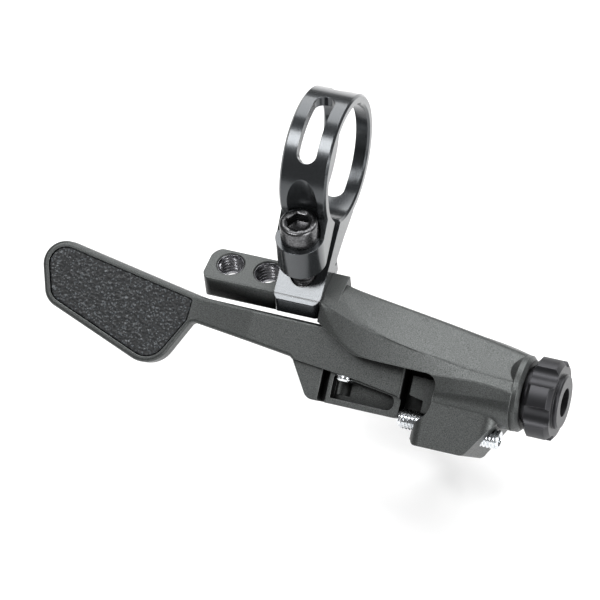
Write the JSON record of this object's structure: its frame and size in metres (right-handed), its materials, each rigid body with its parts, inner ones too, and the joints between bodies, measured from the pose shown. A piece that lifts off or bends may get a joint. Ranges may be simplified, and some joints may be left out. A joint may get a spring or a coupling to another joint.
{
  "type": "dropper post remote lever",
  "caption": "Thumb lever on a one-piece bar clamp with a barrel adjuster, pulling an inner cable to release a dropper seatpost.",
  "frame": {"origin": "middle of the bar clamp's bore, on its axis and halfway along its width", "axes": "+X along the handlebar towards the barrel adjuster, +Z along the clamp bolt out of its head, +Y back from the rider"},
  "size_m": [0.1036, 0.052, 0.0591],
  "materials": {
    "anodised_body": "bead-blasted dark grey anodised",
    "anodised_clamp": "satin black anodised",
    "anodised_adjuster": "turned and milled, dark grey anodised",
    "black_steel": "black oxide steel",
    "zinc_screw": "bright zinc plated",
    "bright_steel": "turned steel",
    "bearing_steel": "ground bearing steel",
    "cage_plastic": "moulded nylon",
    "rubber_ring": "black rubber",
    "grip_tape": "black grit grip tape"
  },
  "bodies": {
    "housing": {"lever_housing": "anodised_body", "bar_clamp": "anodised_clamp", "clamp_bolt": "black_steel", "pivot_bolt": "black_steel", "bearing_spacer": "bright_steel", "upper_shim": "bright_steel", "lower_shim": "bright_steel", "upper_bearing_inner_ring": "bearing_steel", "lower_bearing_inner_ring": "bearing_steel"},
    "thumb_lever": {"lever": "anodised_body", "grip_tape": "grip_tape", "cable_pinch_screw": "zinc_screw", "upper_bearing_outer_ring": "bearing_steel", "upper_bearing_balls": "bearing_steel", "upper_bearing_cage": "cage_plastic", "upper_bearing_seals": "rubber_ring", "lower_bearing_outer_ring": "bearing_steel", "lower_bearing_balls": "bearing_steel", "lower_bearing_cage": "cage_plastic", "lower_bearing_seals": "rubber_ring"},
    "seal_ring": {"adjuster_seal": "rubber_ring"},
    "adjuster": {"barrel_adjuster": "anodised_adjuster"},
    "reach_adjust": {"reach_screw": "zinc_screw"}
  },
  "joints": [
    {"name": "lever_pivot", "type": "hinge", "parent": "housing", "child": "thumb_lever", "pos_m": [0.031, -0.02186, -0.03482], "axis": [0, -0.7771, -0.6293], "range_deg": [0, 35]},
    {"name": "adjuster_travel", "type": "slide", "parent": "housing", "child": "seal_ring", "axis": [1, 0, 0], "range_m": [0, 0.00401]},
    {"name": "adjuster_turn", "type": "hinge", "parent": "seal_ring", "child": "adjuster", "pos_m": [0.047, -0.02468, -0.02514], "axis": [1, 0, 0], "range_deg": [0, 1440]},
    {"name": "reach_travel", "type": "slide", "parent": "housing", "child": "reach_adjust", "axis": [1, 0, 0], "range_m": [0, 0.0025]}
  ],
  "couplings": [
    {"joint": "adjuster_travel", "follows": "adjuster_turn", "m_per_rad": 0.00015915}
  ]
}
